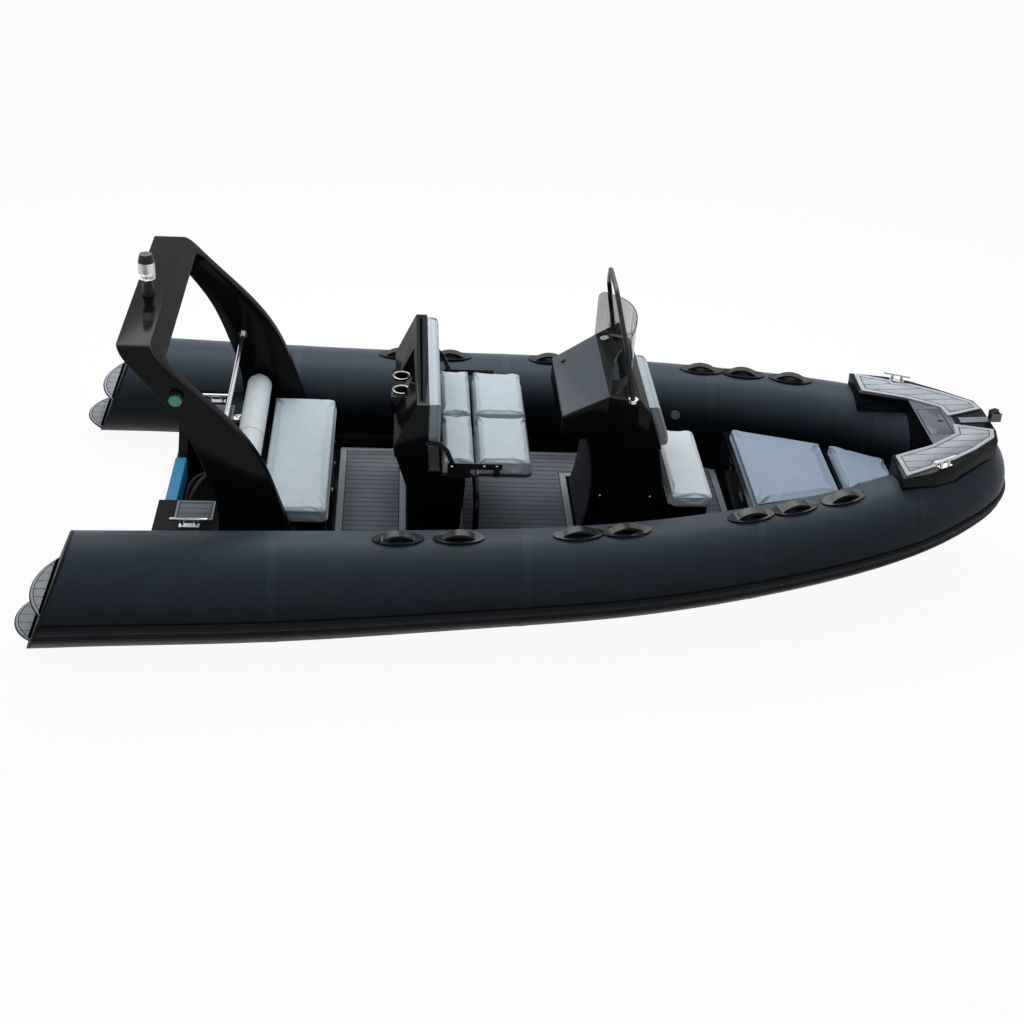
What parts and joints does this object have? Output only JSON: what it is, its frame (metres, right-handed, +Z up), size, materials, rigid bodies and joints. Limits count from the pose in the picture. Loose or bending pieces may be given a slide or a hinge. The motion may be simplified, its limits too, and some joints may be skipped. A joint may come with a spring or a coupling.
{
  "type": "rigid inflatable boat",
  "caption": "Open rigid inflatable boat with a stern arch, helm seat pod, console with windscreen, lockers with cushions and a bow step.",
  "frame": {"origin": "on the centreline at the waterline, under the aft edge of the transom's top", "axes": "+X to the bow, +Y to port, +Z up"},
  "size_m": [5.1222, 2.644, 1.8446],
  "materials": {
    "tube_fabric": "satin coated tube fabric",
    "moulded_rubber": "moulded rubber",
    "gelcoat": "gloss gelcoat",
    "plastic_black": "moulded plastic",
    "vinyl_grey": "marine vinyl over foam",
    "deck_foam": "closed-cell deck foam",
    "stainless": "polished stainless steel",
    "powder_coat": "black powder-coated tube",
    "acrylic_smoked": "smoked acrylic",
    "lens_clear": "clear lens",
    "lens_green": "green lens",
    "lens_red": "red lens",
    "plastic_blue": "moulded plastic",
    "gelcoat_grey": "gelcoat",
    "lining_dark": "textured lining"
  },
  "bodies": {
    "boat": {"tube_port": "tube_fabric", "tube_starboard": "tube_fabric", "rub_strake": "moulded_rubber", "stern_caps": "gelcoat", "stern_tread_pads": "deck_foam", "grab_handles": "moulded_rubber", "cockpit_liner": "gelcoat", "transom_pad": "plastic_blue", "arch": "gelcoat", "arch_cross_rail": "stainless", "mast_light_housing": "plastic_black", "mast_light_lens": "lens_clear", "side_light_housings": "plastic_black", "side_light_lens_port": "lens_red", "side_light_lens_starboard": "lens_green", "bench_base": "gelcoat", "bench_cushion": "vinyl_grey", "bench_bolster": "vinyl_grey", "helm_pod": "gelcoat", "backrest_shell": "gelcoat", "cup_holders": "stainless", "backrest_cushion": "vinyl_grey", "aft_seat_board": "plastic_black", "aft_seat_cushions": "vinyl_grey", "seat_bars": "powder_coat", "foot_rail": "powder_coat", "console_body": "gelcoat", "console_lining": "lining_dark", "console_head": "gelcoat", "dash_gauges": "stainless", "windscreen": "acrylic_smoked", "hoop_rail": "powder_coat", "console_front_pad": "vinyl_grey", "front_seat_base": "gelcoat", "bow_locker": "gelcoat", "locker_hinge_leaves": "stainless", "bow_cushion_fore": "vinyl_grey", "bow_step": "gelcoat", "bow_step_pads": "deck_foam", "cleats": "stainless", "bow_roller_bracket": "stainless", "bow_roller": "plastic_black", "deck_pads": "deck_foam", "tube_fittings": "plastic_black", "hull": "gelcoat"},
    "bench_door": {"bench_door": "gelcoat", "bench_door_latch": "stainless"},
    "flip_seat": {"flip_seat_board": "plastic_black", "flip_seat_cushions": "vinyl_grey"},
    "front_seat": {"front_seat_lid": "gelcoat", "front_seat_cushion": "vinyl_grey"},
    "bow_hatch": {"bow_lid": "gelcoat", "bow_cushion_aft": "vinyl_grey"},
    "anchor_hatch": {"anchor_lid": "gelcoat_grey"}
  },
  "joints": [
    {"name": "bench_door_hinge", "type": "hinge", "parent": "boat", "child": "bench_door", "pos_m": [0.8576, 0.25, 0.3], "axis": [0, 0, 1], "range_deg": [0, 100]},
    {"name": "flip_seat_hinge", "type": "hinge", "parent": "boat", "child": "flip_seat", "pos_m": [1.693, 0, 0.72], "axis": [0, -1, 0], "range_deg": [0, 90]},
    {"name": "front_seat_hinge", "type": "hinge", "parent": "boat", "child": "front_seat", "pos_m": [2.8346, 0, 0.397], "axis": [0, 1, 0], "range_deg": [0, 80]},
    {"name": "bow_hatch_hinge", "type": "hinge", "parent": "boat", "child": "bow_hatch", "pos_m": [3.0384, 0, 0.397], "axis": [0, -1, 0], "range_deg": [0, 80]},
    {"name": "anchor_hatch_hinge", "type": "hinge", "parent": "boat", "child": "anchor_hatch", "pos_m": [4.01878, 0, 0.75723], "axis": [0, -1, 0], "range_deg": [0, 95]}
  ]
}
